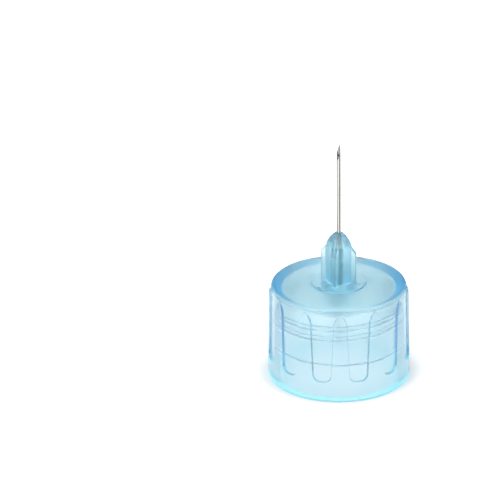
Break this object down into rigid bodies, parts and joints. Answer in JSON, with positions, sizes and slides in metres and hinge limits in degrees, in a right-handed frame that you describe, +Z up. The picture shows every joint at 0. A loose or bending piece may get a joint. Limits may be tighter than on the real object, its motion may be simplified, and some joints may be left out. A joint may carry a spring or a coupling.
{
  "type": "pen needle",
  "caption": "Pen needle: clear blue fluted hub with an internally threaded socket and a finned post, holding a glued double-ended steel cannula.",
  "frame": {"origin": "centre of the hub's open rim, on the surface that it stands on", "axes": "+Z up along the cannula, towards its point; -Y through the middle of one grip rib"},
  "size_m": [0.0124, 0.0124, 0.0212],
  "materials": {
    "hub_plastic": "clear pale blue polypropylene, moulded smooth",
    "cured_adhesive": "cured adhesive, grainy, seen through the hub",
    "stainless_tube": "drawn stainless steel tube, bright"
  },
  "bodies": {
    "root": {"hub": "hub_plastic", "adhesive": "cured_adhesive", "cannula": "stainless_tube"}
  },
  "joints": []
}
